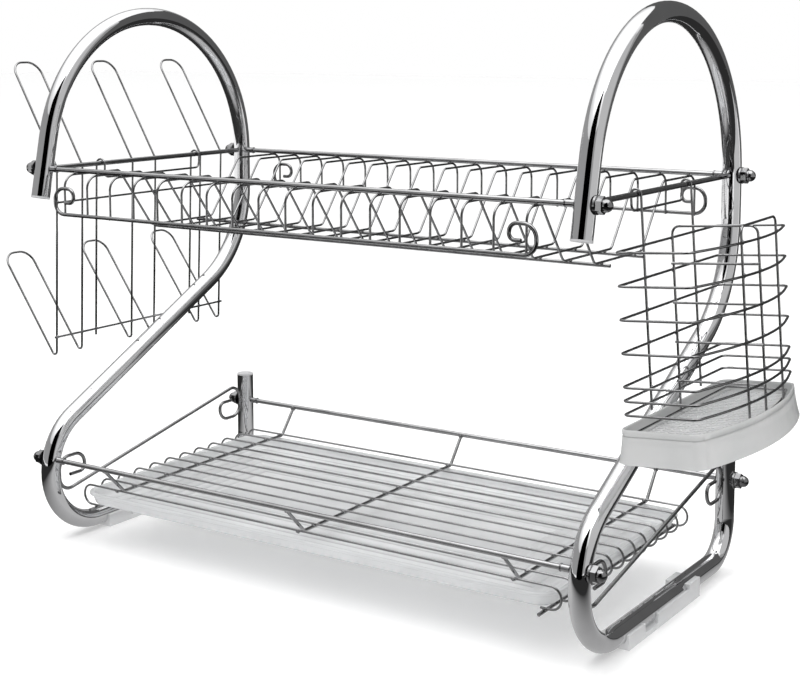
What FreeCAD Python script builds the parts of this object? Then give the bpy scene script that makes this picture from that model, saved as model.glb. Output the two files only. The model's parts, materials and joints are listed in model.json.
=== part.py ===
import FreeCAD, Part
import math
import os

from FreeCAD import Placement, Rotation, Vector

# Two-tier dish drying rack.  X runs along the rack, Y from front to back, Z up.
# X = 0 is half way between the side frames, Z = 0 is the surface that the rack stands on.

doc = FreeCAD.newDocument("DishDryingRack")
sheet = doc.addObject("Spreadsheet::Sheet", "sheet")

DRIVING_DIMENSIONS = [
    # stock sizes
    ("tube_dia", 13.6, "side tube outside"),
    ("tube_wall", 1.0, "side tube wall"),
    ("rod_dia", 3.6, "tie rods and hanging rods"),
    ("rail_dia", 2.6, "scroll rails and scroll braces"),
    ("cross_dia", 2.4, "cross wires, bottom wires and tray bars"),
    ("wire_dia", 1.6, "plate dividers, grid wires, rings and hooks"),
    ("weld_bite", 0.03, "how far welded wires press into each other"),
    # the middle of the whole rack, which is set over the origin
    ("middle_x", 6.78, "from the middle of the side frames"),
    ("middle_y", -1.275, "from the middle of the arches"),
    # side frames
    ("frame_span", 440.0, "between the centre planes of the side frames"),
    ("leg_reach", 111.5, "back leg in front of or behind the arch centre"),
    ("arch_height", 393.5, "top of the arch's centreline"),
    ("arch_radius", 111.0, "arch bend"),
    ("leg_lean", 12.0, "how far the front leg leans out, degrees"),
    ("leg_end_y", -118.6, "end of the front leg"),
    ("leg_end_z", 261.7, "end of the front leg"),
    ("knee_z", 199.5, "where the back leg's line meets the diagonal's"),
    ("knee_radius", 86.0, "bend from the back leg into the diagonal"),
    ("diagonal_slope", 27.5, "diagonal above the horizontal, degrees"),
    ("toe_radius", 45.0, "bend from the diagonal into the floor run"),
    ("floor_run_z", 8.8, "centreline of the floor run"),
    ("stub_y", 112.5, "rear stub"),
    ("stub_top", 86.4, "end of the rear stub's tube"),
    ("heel_radius", 28.0, "bend from the floor run into the stub"),
    ("cap_rim", 1.2, "visible rim of an end cap"),
    ("cap_plug", 8.0, "length of an end cap's plug"),
    # tie rods and their fastenings
    ("upper_bolt_z", 282.0, "upper tie rods and hanging rods"),
    ("upper_front_y", -114.05, "upper front tie rod"),
    ("lower_bolt_z", 64.5, "lower tie rods"),
    ("lower_front_y", -114.7, "lower front tie rod"),
    ("collar_dia", 4.6, "collar at each end of a tie rod"),
    ("collar_length", 6.0, "collar at each end of a tie rod"),
    ("stud_dia", 3.4, "threaded end of a tie rod"),
    ("stud_hole", 3.5, "hole for it in the tube and the washer"),
    ("stud_reach", 6.0, "threaded end past the washer"),
    ("thread_room", 0.5, "room past the threaded end inside a dome nut"),
    ("washer_dia", 11.6, "washer outside"),
    ("washer_thick", 1.2, "washer thickness"),
    ("nut_flats", 9.6, "dome nut across its flats"),
    ("nut_hex", 3.9, "dome nut's hexagon height"),
    ("dome_radius", 4.0, "dome nut's dome"),
    ("dome_neck", 1.4, "straight part of the dome"),
    # plate basket
    ("divider_count", 18, "plate dividers"),
    ("divider_pitch", 22.1, "plate dividers along X"),
    ("divider_outer", 124.2, "divider's upright from the basket's middle"),
    ("divider_shoulder", 69.0, "where its top run turns down"),
    ("divider_foot", 35.0, "half of its flat bottom"),
    ("divider_bottom_z", 235.0, "its flat bottom"),
    ("divider_crown_radius", 9.0, "bend over its upright"),
    ("divider_shoulder_radius", 5.0, "bend at its shoulder"),
    ("divider_foot_radius", 6.0, "bends of its flat bottom"),
    ("rail_z", 251.5, "scroll rails"),
    ("rail_end", 195.5, "outermost point of a rail's scroll"),
    ("scroll_size", 18.6, "height of a rail's scroll"),
    ("scroll_width", 18.2, "width of a rail's scroll"),
    ("scroll_tip", 10.2, "how far the scroll's tip comes back out and down"),
    ("scroll_tip_radius", 4.1, "bend at the scroll's tip"),
    ("scroll_top_radius", 5.6, "bend at the scroll's inner top"),
    ("scroll_radius", 8.6, "outer bends of the scroll"),
    ("bottom_wire_y", 25.0, "bottom wires from the basket's middle"),
    ("bottom_wire_end", 194.0, "half length of the bottom wires"),
    # lower shelf
    ("shelf_z", 43.5, "cross wires' flat run"),
    ("shelf_front_y", -93.8, "cross wires' front bend"),
    ("shelf_back_y", 96.0, "cross wires' back bend"),
    ("cross_wire_x", 167.0, "outer cross wires from the middle"),
    ("cross_wire_bend", 4.0, "bends of the cross wires"),
    ("grid_count", 12, "lengthwise grid wires"),
    ("grid_pitch", 17.5, "lengthwise grid wires"),
    ("grid_front_y", -100.5, "front grid wire"),
    ("grid_straight", 193.0, "half length of a grid wire's straight run"),
    ("hook_drop", 14.6, "height of a grid wire's end hook"),
    ("hook_radius", 7.2, "bends of an end hook"),
    ("hook_run", 7.3, "how far an end hook reaches past its wire's straight run"),
    ("hook_start", 0.01, "room between a straight run and its end hook"),
    ("hook_return", 186.0, "where an end hook stops under the tray"),
    ("tray_bar_x", 188.5, "tray bars from the middle"),
    ("tray_bar_front", -107.5, "front tip of the tray bars"),
    ("tray_bar_back", 97.0, "back tip of the tray bars"),
    # scroll braces
    ("brace_front_y", -107.0, "front edge of the brace"),
    ("brace_back_y", 104.4, "back edge of the brace"),
    ("brace_front_z", 37.0, "bottom of the front curl"),
    ("brace_back_z", 78.6, "top of the back curl"),
    ("curl_wide", 26.0, "width of a curl"),
    ("curl_high", 26.0, "height of a curl"),
    ("curl_drop", 14.6, "how far the curl's tip turns back"),
    ("curl_tip", 10.9, "from the curl's edge to its tip"),
    ("curl_radius", 9.4, "bends of a curl"),
    ("curl_tip_radius", 4.9, "bend at a curl's tip"),
    ("curl_turn_radius", 10.4, "bend from a curl into the diagonal"),
    ("curl_dip", 1.5, "how far that bend runs past the curl"),
    # drip tray
    ("tray_flange_x", 197.2, "half length over the flange"),
    ("tray_front_y", -108.0, "front edge of the flange"),
    ("tray_back_y", 95.0, "back edge of the flange"),
    ("tray_flange", 4.0, "flange width"),
    ("tray_wall", 1.4, "tray wall and floor"),
    ("tray_corner", 16.0, "corner radius in plan"),
    ("tray_bottom_z", 31.95, "underside of the tray"),
    ("tray_top_z", 41.85, "top of the flange"),
    # foot strips
    ("foot_wide", 17.6, "foot strip across the tube"),
    ("foot_front_y", -64.0, "front end"),
    ("foot_back_y", 48.0, "back end"),
    ("foot_tab_z", 9.8, "top of the tabs that grip the tube"),
    ("foot_window_front", -40.0, "front of the window between the tabs"),
    ("foot_window_back", -20.0, "back of that window"),
    ("foot_block_front", 30.0, "front of the taller block at the back end"),
    ("foot_block_z", 13.5, "top of that block"),
    ("foot_sill_z", 3.4, "top of the strip between its tabs"),
    ("foot_gap", 0.05, "room round the tube"),
    # cutlery basket, measured from the hanging rod's axis
    ("cutlery_tilt", 4.2, "lean of the hanging basket, degrees"),
    ("hook_lip_radius", 4.0, "bends of the hooks' inner run"),
    ("hook_crook_slack", 0.1, "crook radius below half of the hook's width"),
    ("cutlery_hook_out", 2.9, "hook wire's uprights"),
    ("cutlery_hook_in", 3.8, "hook wire's inner run"),
    ("hook_rest", 0.4, "room between a hook's crown and the rod"),
    ("hook_lip", 10.5, "depth of the hooks' inner run"),
    ("cutlery_hook_front", -45.0, "front hook"),
    ("cutlery_hook_back", 32.5, "back hook"),
    ("cutlery_hook_low", -133.6, "lower end of the hook wire"),
    ("ring_inner", 4.5, "rings' straight inner side"),
    ("ring_depth", 47.0, "rings' straight ends"),
    ("ring_middle", -10.0, "middle of the rings along Y"),
    ("ring_half", 79.0, "half length of the rings"),
    ("ring_bulge", 20.5, "how far the outer side's tangents rise"),
    ("ring_inner_corner", 4.5, "corner radius at the inner side"),
    ("ring_outer_corner", 5.0, "corner radius at the outer side"),
    ("ring_bulge_radius", 240.0, "radius of the outer side"),
    ("ring_top_w", -31.05, "top ring"),
    ("ring_pitch", 20.05, "upper rings"),
    ("ring_low_pitch", 8.3, "lower rings"),
    ("ring_floor_w", -140.1, "lowest ring, inside the drip cup"),
    ("ring_inset", 3.14, "lowest ring inside the others"),
    ("ladder_y", -8.5, "dividing frame along Y"),
    ("divider_frame_w", -23.6, "top of the dividing frame"),
    ("divider_rung_count", 4, "rungs"),
    ("divider_rung_w", -47.0, "top rung"),
    ("divider_rung_pitch", 25.0, "rungs"),
    ("divider_leg_low", -142.0, "lower end of the dividing frame"),
    ("stiffener_front", -33.5, "front leg of the outer stiffener"),
    ("stiffener_back", 33.0, "back leg of the outer stiffener"),
    ("stiffener_w", -21.5, "top of the outer stiffener"),
    ("frame_corner", 5.0, "corner bends of the dividing frame and the stiffener"),
    ("cup_top_w", -136.0, "rim of the drip cup"),
    ("cup_low_w", -156.5, "underside of the drip cup"),
    ("cup_floor_w", -143.0, "top of the drip cup's floor"),
    ("cup_wall", 1.4, "drip cup wall"),
    ("cup_gap", 0.35, "drip cup round the rings"),
    ("cup_flare", 2.6, "how far the cup's skirt flares"),
    ("cup_under_flare", 1.0, "flare at the top of the space under the cup's floor"),
    # mug rack, measured from the hanging rod's axis
    ("mug_tilt", 2.0, "lean of the hanging mug rack, degrees"),
    ("mug_hook_out", 5.05, "uprights"),
    ("mug_hook_in", 3.6, "hook wire's inner run"),
    ("mug_hook_front", -56.0, "front hook"),
    ("mug_hook_back", 52.0, "back hook"),
    ("mug_hook_low", -134.0, "lower end of the hook wire"),
    ("prong_pitch", 80.4, "prong wires along Y"),
    ("prong_middle", -3.6, "middle prong wire"),
    ("prong_wide", 26.0, "between the two uprights of a prong wire"),
    ("prong_knee", -1.0, "where the upper prong leaves the upright"),
    ("prong_upper_out", 53.7, "tip of an upper prong"),
    ("prong_upper_w", 74.6, "tip of an upper prong"),
    ("prong_low_w", -147.3, "bend at the foot of the uprights"),
    ("prong_lower_out", 63.1, "tip of a lower prong"),
    ("prong_lower_w", -72.7, "tip of a lower prong"),
    ("prong_tip_radius", 10.5, "rounding of the tips"),
    ("prong_knee_radius", 9.0, "bend where the upper prong leaves the upright"),
    ("prong_foot_radius", 2.4, "bend at the foot of the uprights"),
    ("mug_bar_front", -100.0, "front end of the mug rack's bars"),
    ("mug_bar_back", 91.0, "back end of the mug rack's bars"),
    ("mug_upper_bar_w", -27.0, "upper bar"),
    ("mug_lower_bar_w", -129.0, "lower bar"),
]
for row, (alias, value, meaning) in enumerate(DRIVING_DIMENSIONS, start=1):
    sheet.set("A%d" % row, meaning)
    sheet.set("B%d" % row, str(value))
    sheet.setAlias("B%d" % row, alias)
doc.recompute()


def size(alias):
    return float(sheet.get(alias))


FRAME_X = size("frame_span") / 2
TUBE_R = size("tube_dia") / 2
ROD_R = size("rod_dia") / 2
RAIL_R = size("rail_dia") / 2
CROSS_R = size("cross_dia") / 2
WIRE_R = size("wire_dia") / 2
BITE = size("weld_bite")
WIRE_TOUCH = size("wire_dia") - BITE  # between the middles of two welded wires
PAST = 1.0  # how far a cutting tool runs past the surface it opens
SIDES = (("left", -1), ("right", 1))
nodes = []


# ---------------------------------------------------------------- helpers

def rounded_path(corners, bends, closed=False):
    """Straight runs through the corners, joined by tangent arcs of the given bend radii."""
    count = len(corners)
    before, after, middle = list(corners), list(corners), [None] * count
    for i in range(count):
        if not closed and i in (0, count - 1):
            continue
        corner = corners[i]
        back = (corners[i - 1] - corner).normalize()
        ahead = (corners[(i + 1) % count] - corner).normalize()
        half_angle = back.getAngle(ahead) / 2
        reach = bends[i] / math.tan(half_angle)
        before[i] = corner + back * reach
        after[i] = corner + ahead * reach
        bisector = (back + ahead).normalize()
        middle[i] = corner + bisector * (bends[i] / math.sin(half_angle) - bends[i])
    edges = []
    for i in range(count if closed else count - 1):
        j = (i + 1) % count
        edges.append(Part.makeLine(after[i], before[j]))
        if middle[j] is not None:
            edges.append(Part.Arc(before[j], middle[j], after[j]).toShape())
    return Part.Wire(edges)


def add_node(thing, label):
    thing.Label = label
    nodes.append(thing)
    return thing


def swept_wire(name, path, diameter):
    """A round wire of a sheet diameter along a path, as a Part::Sweep of a Part::Circle."""
    spine = doc.addObject("Part::Feature", name + "_path")
    spine.Shape = path
    first = path.Edges[0]
    section = doc.addObject("Part::Circle", name + "_section")
    section.setExpression("Radius", "sheet.%s / 2" % diameter)
    heading = first.tangentAt(first.FirstParameter)
    section.Placement = Placement(first.valueAt(first.FirstParameter), Rotation(Vector(0, 0, 1), heading))
    sweep = doc.addObject("Part::Sweep", name)
    sweep.Sections = [section]
    sweep.Spine = (spine, ["Edge%d" % (i + 1) for i in range(len(path.Edges))])
    sweep.Solid = True
    sweep.Frenet = False
    return sweep


def cylinder(name, radius, length, base, heading):
    """A cylinder whose radius and height are sheet expressions, from base along heading."""
    rod = doc.addObject("Part::Cylinder", name)
    rod.setExpression("Radius", radius)
    rod.setExpression("Height", length)
    rod.Placement = Placement(base, Rotation(Vector(0, 0, 1), heading))
    return rod


def fuse(name, shapes):
    joined = doc.addObject("Part::MultiFuse", name)
    joined.Shapes = shapes
    return joined


def cut(name, base, tool):
    result = doc.addObject("Part::Cut", name)
    result.Base = base
    result.Tool = tool
    return result


def copies(label, master, places):
    """One node of identical solids, a copy of the master at each placement."""
    doc.recompute()
    group = doc.addObject("Part::Feature", label)
    solids = []
    for place in places:
        solid = master.Shape.copy()
        solid.Placement = place.multiply(solid.Placement)
        solids.append(solid)
    group.Shape = Part.makeCompound(solids)
    return add_node(group, label)


def shift(x=0.0, y=0.0, z=0.0):
    return Placement(Vector(x, y, z), Rotation())


# ---------------------------------------------------------------- side frames

def frame_path(x):
    """Centreline of one side frame: front leg, arch, back leg, diagonal, floor run, stub."""
    lean = math.tan(math.radians(size("leg_lean")))
    top = size("arch_height")
    front_y = size("leg_end_y") + (top - size("leg_end_z")) * lean
    slope = math.tan(math.radians(size("diagonal_slope")))
    toe_y = size("leg_reach") - (size("knee_z") - size("floor_run_z")) / slope
    corners = [
        Vector(x, size("leg_end_y"), size("leg_end_z")),
        Vector(x, front_y, top),
        Vector(x, size("leg_reach"), top),
        Vector(x, size("leg_reach"), size("knee_z")),
        Vector(x, toe_y, size("floor_run_z")),
        Vector(x, size("stub_y"), size("floor_run_z")),
        Vector(x, size("stub_y"), size("stub_top")),
    ]
    arch = size("arch_radius")
    bends = [0, arch, arch, size("knee_radius"), size("toe_radius"), size("heel_radius"), 0]
    return rounded_path(corners, bends)


BOLT_POINTS = (
    ("upper_front_y", "upper_bolt_z"),
    ("leg_reach", "upper_bolt_z"),
    ("lower_front_y", "lower_bolt_z"),
    ("stub_y", "lower_bolt_z"),
)


def side_tube(side, sign):
    x = sign * FRAME_X
    path = frame_path(x)
    sheet_bore = "sheet.tube_dia / 2 - sheet.tube_wall"
    outside = swept_wire(side + "_tube_outside", path, "tube_dia")
    inside = swept_wire(side + "_tube_inside", path, "tube_dia")
    inside.Sections[0].setExpression("Radius", sheet_bore)
    holes = []
    for y_cell, z_cell in BOLT_POINTS:
        start = Vector(x - 1.5 * TUBE_R, size(y_cell), size(z_cell))
        hole = cylinder("%s_hole_%s" % (side, y_cell), "sheet.stud_hole / 2", "sheet.tube_dia * 1.5",
                        start, Vector(1, 0, 0))
        holes.append(hole)
    hollow = cut(side + "_hollow_tube", outside, inside)
    add_node(cut(side + "_side_tube", hollow, fuse(side + "_bolt_holes", holes)), side + "_side_tube")
    add_node(end_cap(side + "_arch_cap", path.Edges[0], True), side + "_arch_cap")
    add_node(end_cap(side + "_stub_cap", path.Edges[-1], False), side + "_stub_cap")


def end_cap(name, run, at_start):
    """A plastic cap: a rim over the tube's end and a plug inside it."""
    parameter = run.FirstParameter if at_start else run.LastParameter
    outward = run.tangentAt(parameter) * (-1 if at_start else 1)
    end = run.valueAt(parameter)
    rim = cylinder(name + "_rim", "sheet.tube_dia / 2", "sheet.cap_rim", end, outward)
    plug = cylinder(name + "_plug", "sheet.tube_dia / 2 - sheet.tube_wall - 0.02", "sheet.cap_plug",
                    end, outward * -1)
    return fuse(name, [rim, plug])


# ---------------------------------------------------------------- rods and fastenings

def tie_rod(label, y_cell, z_cell):
    """A rod from frame to frame, with a collar and a threaded end at each side."""
    y, z = size(y_cell), size(z_cell)
    along = Vector(1, 0, 0)
    inner = FRAME_X - TUBE_R
    shank = cylinder(label + "_shank", "sheet.rod_dia / 2", "sheet.frame_span - sheet.tube_dia",
                     Vector(-inner, y, z), along)
    collars = []
    for side, start in (("left", -inner), ("right", inner - size("collar_length"))):
        collars.append(cylinder("%s_%s_collar" % (label, side), "sheet.collar_dia / 2",
                                "sheet.collar_length", Vector(start, y, z), along))
    reach = FRAME_X + TUBE_R + size("washer_thick") + size("stud_reach")
    length = "sheet.frame_span + sheet.tube_dia + 2 * (sheet.washer_thick + sheet.stud_reach)"
    stud = cylinder(label + "_stud", "sheet.stud_dia / 2", length, Vector(-reach, y, z), along)
    add_node(fuse(label, [shank, stud] + collars), label)


def bolt_places(distance):
    """Where the fastenings sit: outside each tube, at a distance from its centre plane."""
    places = []
    for side, sign in SIDES:
        for y_cell, z_cell in BOLT_POINTS:
            seat = Vector(sign * (FRAME_X + distance), size(y_cell), size(z_cell))
            places.append(Placement(seat, Rotation(Vector(0, 0, 1), Vector(sign, 0, 0))))
    return places


def fastenings():
    up = Vector(0, 0, 1)
    disc = cylinder("washer_disc", "sheet.washer_dia / 2", "sheet.washer_thick", Vector(), up)
    eye = cylinder("washer_eye", "sheet.stud_hole / 2", "sheet.washer_thick", Vector(), up)
    copies("washers", cut("washer", disc, eye), bolt_places(TUBE_R))

    hexagon = doc.addObject("Part::Prism", "nut_hexagon")
    hexagon.Polygon = 6
    hexagon.setExpression("Circumradius", "sheet.nut_flats / 2 / cos(30)")
    hexagon.setExpression("Height", "sheet.nut_hex")
    neck = cylinder("nut_neck", "sheet.dome_radius", "sheet.nut_hex + sheet.dome_neck", Vector(), up)
    dome = doc.addObject("Part::Sphere", "nut_dome")
    dome.setExpression("Radius", "sheet.dome_radius")
    dome.setExpression("Placement.Base.z", "sheet.nut_hex + sheet.dome_neck")
    body = fuse("nut_body", [hexagon, neck, dome])
    thread = cylinder("nut_thread", "sheet.stud_hole / 2", "sheet.stud_reach + sheet.thread_room", Vector(), up)
    copies("dome_nuts", cut("nut", body, thread), bolt_places(TUBE_R + size("washer_thick")))


def hanging_rod(side, sign):
    """The rod across one side frame, from the front leg to the back leg, that baskets hang on."""
    lean = math.radians(size("leg_lean"))
    front = size("upper_front_y") + TUBE_R / math.cos(lean) - BITE
    length = ("sheet.leg_reach - sheet.upper_front_y - sheet.tube_dia / 2"
              " - sheet.tube_dia / 2 / cos(sheet.leg_lean) + 2 * sheet.weld_bite")
    rod = cylinder(side + "_hanging_rod", "sheet.rod_dia / 2", length,
                   Vector(sign * FRAME_X, front, size("upper_bolt_z")), Vector(0, 1, 0))
    add_node(rod, side + "_hanging_rod")


def scroll_brace(side, sign):
    """An S of wire low in one side frame, curled in at both ends."""
    x = sign * FRAME_X
    front, back = size("brace_front_y"), size("brace_back_y")
    low, high = size("brace_front_z"), size("brace_back_z")
    wide, tall = size("curl_wide"), size("curl_high")
    drop, reach, dip = size("curl_drop"), size("curl_tip"), size("curl_dip")
    corners = [
        Vector(x, front + reach, low + tall - drop),
        Vector(x, front + wide, low + tall - drop),
        Vector(x, front + wide, low + tall),
        Vector(x, front, low + tall),
        Vector(x, front, low - dip),
        Vector(x, back, high + dip),
        Vector(x, back, high - tall),
        Vector(x, back - wide, high - tall),
        Vector(x, back - wide, high - tall + drop),
        Vector(x, back - reach, high - tall + drop),
    ]
    curl, tip, turn = size("curl_radius"), size("curl_tip_radius"), size("curl_turn_radius")
    bends = [0, tip, curl, curl, turn, turn, curl, curl, tip, 0]
    brace = swept_wire(side + "_scroll_brace", rounded_path(corners, bends), "rail_dia")
    add_node(brace, side + "_scroll_brace")


# ---------------------------------------------------------------- plate basket

BASKET_Y = (size("upper_front_y") + size("leg_reach")) / 2
DIVIDER_TOP_Z = size("upper_bolt_z") - ROD_R - WIRE_R + BITE


def plate_dividers():
    outer, shoulder, foot = size("divider_outer"), size("divider_shoulder"), size("divider_foot")
    profile = [
        (-outer, size("rail_z") - RAIL_R),
        (-outer, DIVIDER_TOP_Z),
        (-shoulder, DIVIDER_TOP_Z),
        (-foot, size("divider_bottom_z")),
    ]
    profile += [(-y, z) for y, z in reversed(profile)]
    radii = ("divider_crown_radius", "divider_shoulder_radius", "divider_foot_radius")
    half_bends = [0] + [size(cell) for cell in radii]
    bends = half_bends + half_bends[::-1]
    corners = [Vector(0, BASKET_Y + y, z) for y, z in profile]
    master = swept_wire("plate_divider", rounded_path(corners, bends), "wire_dia")
    count, pitch = int(size("divider_count")), size("divider_pitch")
    first = -pitch * (count - 1) / 2
    copies("plate_dividers", master, [shift(x=first + i * pitch) for i in range(count)])


def scroll_rail(label, sign):
    """A rail welded outside the dividers' uprights, with a scroll at each end."""
    y = BASKET_Y + sign * (size("divider_outer") + WIRE_R + RAIL_R - BITE)
    z, end, tip = size("rail_z"), size("rail_end"), size("scroll_tip")
    top, inner = z + size("scroll_size"), end - size("scroll_width")
    half = [
        (end - tip, top - tip),
        (inner, top - tip),
        (inner, top),
        (end, top),
        (end, z),
    ]
    outer_bend = size("scroll_radius")
    half_bends = [0, size("scroll_tip_radius"), size("scroll_top_radius"), outer_bend, outer_bend]
    corners = [Vector(x, y, level) for x, level in half]
    corners += [Vector(-x, y, level) for x, level in reversed(half)]
    bends = half_bends + half_bends[::-1]
    add_node(swept_wire(label, rounded_path(corners, bends), "rail_dia"), label)


def plate_bottom_wires():
    z = size("divider_bottom_z") - WIRE_R - CROSS_R + BITE
    end = size("bottom_wire_end")
    master = cylinder("plate_bottom_wire", "sheet.cross_dia / 2", "sheet.bottom_wire_end * 2",
                      Vector(-end, 0, z), Vector(1, 0, 0))
    offset = size("bottom_wire_y")
    copies("plate_bottom_wires", master, [shift(y=BASKET_Y + y) for y in (-offset, offset)])


# ---------------------------------------------------------------- lower shelf

GRID_Z = size("shelf_z") + CROSS_R + WIRE_R - BITE
GRID_Y = [size("grid_front_y") + i * size("grid_pitch") for i in range(int(size("grid_count")))]


def cross_wires():
    """Wires that hang from the front rod to the back rod and carry the grid."""
    touch, bend = ROD_R - BITE, size("cross_wire_bend")
    front_rod = Vector(0, size("lower_front_y"), size("lower_bolt_z"))
    back_rod = Vector(0, size("stub_y"), size("lower_bolt_z"))
    front_bend = Vector(0, size("shelf_front_y"), size("shelf_z"))
    back_bend = Vector(0, size("shelf_back_y"), size("shelf_z"))
    front_end = front_rod + (front_bend - front_rod).normalize() * touch
    back_end = back_rod + (back_bend - back_rod).normalize() * touch
    path = rounded_path([front_end, front_bend, back_bend, back_end], [0, bend, bend, 0])
    master = swept_wire("lower_cross_wire", path, "cross_dia")
    offset = size("cross_wire_x")
    copies("lower_cross_wires", master, [shift(x=x) for x in (-offset, 0, offset)])


def grid_wires():
    straight = size("grid_straight")
    master = cylinder("lower_grid_wire", "sheet.wire_dia / 2", "sheet.grid_straight * 2",
                      Vector(-straight, 0, GRID_Z), Vector(1, 0, 0))
    copies("lower_grid_wires", master, [shift(y=y) for y in GRID_Y])


def end_hooks(side, sign):
    """The grid wires' ends, curled down round the tray's end and back in under it."""
    drop, radius = size("hook_drop"), size("hook_radius")
    straight, back = size("grid_straight") + size("hook_start"), size("hook_return")
    edge = straight + size("hook_run")
    corners = [
        Vector(sign * straight, 0, GRID_Z),
        Vector(sign * edge, 0, GRID_Z),
        Vector(sign * edge, 0, GRID_Z - drop),
        Vector(sign * back, 0, GRID_Z - drop),
    ]
    path = rounded_path(corners, [0, radius, radius, 0])
    master = swept_wire("lower_%s_end_hook" % side, path, "wire_dia")
    copies("lower_%s_end_hooks" % side, master, [shift(y=y) for y in GRID_Y])
    bar_z = GRID_Z - drop - WIRE_R - CROSS_R + BITE
    length = "sheet.tray_bar_back - sheet.tray_bar_front"
    bar = cylinder("lower_%s_tray_bar" % side, "sheet.cross_dia / 2", length,
                   Vector(sign * size("tray_bar_x"), size("tray_bar_front"), bar_z), Vector(0, 1, 0))
    add_node(bar, "lower_%s_tray_bar" % side)


# ---------------------------------------------------------------- plastic parts

def plan_block(name, half_x, front_y, back_y, low_z, high_z, corner):
    """A prism with rounded corners in plan."""
    corners = [
        Vector(-half_x, front_y, low_z),
        Vector(half_x, front_y, low_z),
        Vector(half_x, back_y, low_z),
        Vector(-half_x, back_y, low_z),
    ]
    outline = rounded_path(corners, [corner] * 4, closed=True)
    block = doc.addObject("Part::Feature", name)
    block.Shape = Part.Face(outline).extrude(Vector(0, 0, high_z - low_z))
    return block


def drip_tray():
    """A shallow tray with a flat flange round its rim."""
    half, flange, wall = size("tray_flange_x"), size("tray_flange"), size("tray_wall")
    front, back = size("tray_front_y"), size("tray_back_y")
    low, high, corner = size("tray_bottom_z"), size("tray_top_z"), size("tray_corner")
    rim = plan_block("tray_rim", half, front, back, high - wall, high, corner)
    pan = plan_block("tray_pan", half - flange, front + flange, back - flange, low, high, corner - flange)
    inset = flange + wall
    hollow = plan_block("tray_hollow", half - inset, front + inset, back - inset, low + wall, high + PAST,
                        corner - inset)
    add_node(cut("drip_tray", fuse("tray_outside", [rim, pan]), hollow), "drip_tray")


def foot_box(name, x, wide, front, back, top):
    """A box across a floor run, between two Y cells of the sheet, up to a Z cell."""
    block = doc.addObject("Part::Box", name)
    block.Length = wide
    block.setExpression("Width", "sheet.%s - sheet.%s" % (back, front))
    block.setExpression("Height", "sheet." + top)
    block.Placement.Base = Vector(x - wide / 2, size(front), 0)
    return block


def foot_strip(side, sign):
    """A strip under the floor run, gripping the tube with two tabs and a taller block at its back."""
    x, wide = sign * FRAME_X, size("foot_wide")
    base = foot_box(side + "_foot_base", x, wide, "foot_front_y", "foot_back_y", "foot_tab_z")
    block = foot_box(side + "_foot_block", x, wide, "foot_block_front", "foot_back_y", "foot_block_z")
    window = foot_box(side + "_foot_window", x, wide + 2 * PAST, "foot_window_front", "foot_window_back",
                      "foot_tab_z")
    window.Placement.Base.z = size("foot_sill_z")
    seat = cylinder(side + "_foot_seat", "sheet.tube_dia / 2 + sheet.foot_gap",
                    "sheet.foot_back_y - sheet.foot_front_y",
                    Vector(x, size("foot_front_y"), size("floor_run_z")), Vector(0, 1, 0))
    solid = fuse(side + "_foot_solid", [base, block])
    shaped = cut(side + "_foot_strip", solid, fuse(side + "_foot_cuts", [seat, window]))
    add_node(shaped, side + "_foot_strip")


# ---------------------------------------------------------------- cutlery basket

def hung(thing, sign, tilt):
    """Hang a piece on a side's rod: its own origin is the rod's axis, and it leans outward."""
    lean = Rotation(Vector(0, 1, 0), tilt)
    thing.Placement = Placement(Vector(sign * FRAME_X, 0, size("upper_bolt_z")), lean)
    return thing


def placed_path(corners, bends, sign, tilt, closed=False):
    """A wire path given from the rod's axis, set in place and leaning with its basket."""
    path = rounded_path(corners, bends, closed)
    lean = Placement(Vector(sign * FRAME_X, 0, size("upper_bolt_z")), Rotation(Vector(0, 1, 0), tilt))
    path.transformShape(lean.toMatrix())
    return path


def hook_corners(sign, outer, inner, front, back, low):
    """Two hooks over the rod, joined by a run along its inner side."""
    crown = ROD_R + WIRE_R + size("hook_rest")
    lip = -size("hook_lip")
    half = [
        Vector(sign * outer, 0, low),
        Vector(sign * outer, 0, crown),
        Vector(-sign * inner, 0, crown),
        Vector(-sign * inner, 0, lip),
    ]
    corners = [point + Vector(0, front, 0) for point in half]
    corners += [point + Vector(0, back, 0) for point in reversed(half)]
    crook, lip_bend = (outer + inner) / 2 - size("hook_crook_slack"), size("hook_lip_radius")
    return corners, [0, crook, crook, lip_bend, lip_bend, crook, crook, 0]


def ring_outline(inset, w):
    """Corners and bends of the basket's outline at height w: a rectangle with a bowed outer side.

    A positive inset gives the parallel outline inside it, a negative one the outline round it.
    """
    inner = size("ring_inner")
    outer = inner + size("ring_depth")
    middle, half, bulge = size("ring_middle"), size("ring_half"), size("ring_bulge")
    half_turn = math.atan2(bulge, half)
    outer_shift = inset * (1 / math.cos(half_turn) - math.tan(half_turn))
    reach = half - inset
    corners = [
        Vector(inner + inset, middle + reach, w),
        Vector(inner + inset, middle - reach, w),
        Vector(outer - outer_shift, middle - reach, w),
        Vector(outer + bulge - inset / math.cos(half_turn), middle, w),
        Vector(outer - outer_shift, middle + reach, w),
    ]
    near = size("ring_inner_corner") - inset
    far = size("ring_outer_corner") - inset
    bow = size("ring_bulge_radius") - inset
    return corners, [near, near, far, bow, far]


RIGHT_TILT = -size("cutlery_tilt")
LEFT_TILT = size("mug_tilt")
UPPER_RINGS = 5
RING_COUNT = 8


def ring_height(index):
    if index == RING_COUNT - 1:
        return size("ring_floor_w")
    top, pitch, low_pitch = size("ring_top_w"), size("ring_pitch"), size("ring_low_pitch")
    return top - min(index, UPPER_RINGS - 1) * pitch - max(index - UPPER_RINGS + 1, 0) * low_pitch


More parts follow.
